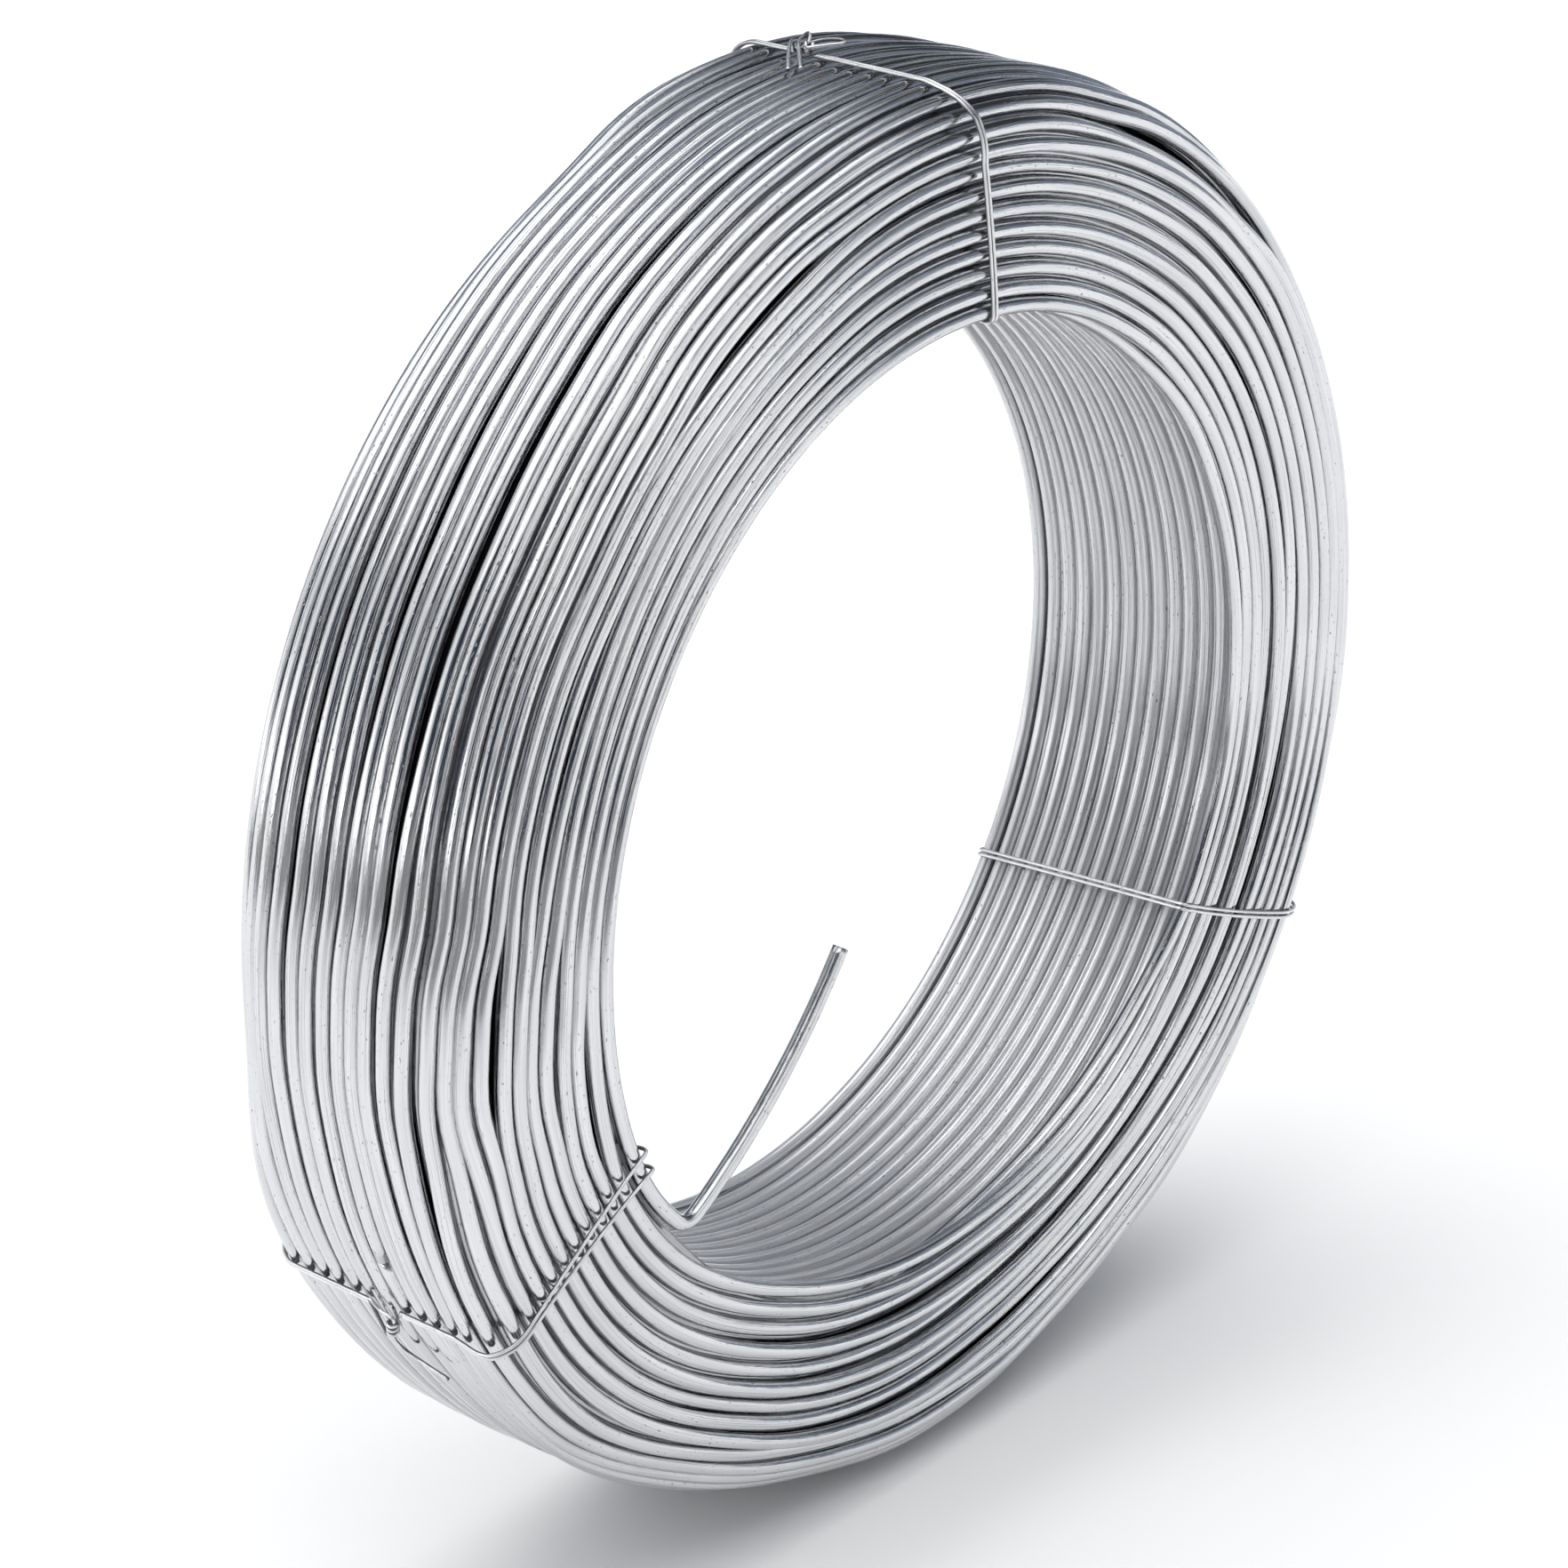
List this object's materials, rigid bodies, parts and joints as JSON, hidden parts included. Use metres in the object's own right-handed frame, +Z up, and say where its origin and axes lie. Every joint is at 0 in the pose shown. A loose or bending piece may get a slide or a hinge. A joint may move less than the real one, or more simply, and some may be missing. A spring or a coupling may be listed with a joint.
{
  "type": "coil of galvanised steel wire",
  "caption": "Ring-shaped coil of bright galvanised steel wire standing on its rim, with an open bore, a loose cut end inside it and thin twisted wire ties round its section.",
  "frame": {"origin": "centre of the coil, on the bore axis at mid width", "axes": "+Y along the bore axis towards the back face, -Y is the front face with the loose end, +Z up while the coil stands on its rim, +X to the right seen from the front"},
  "size_m": [0.214, 0.0458, 0.2168],
  "materials": {
    "galvanised_wire": "bright zinc, drawn, with streaks along the wire",
    "tie_wire": "bright zinc on thin soft wire"
  },
  "bodies": {
    "root": {"wire_coil": "galvanised_wire", "top_tie": "tie_wire", "left_tie": "tie_wire", "right_tie": "tie_wire"}
  },
  "joints": []
}
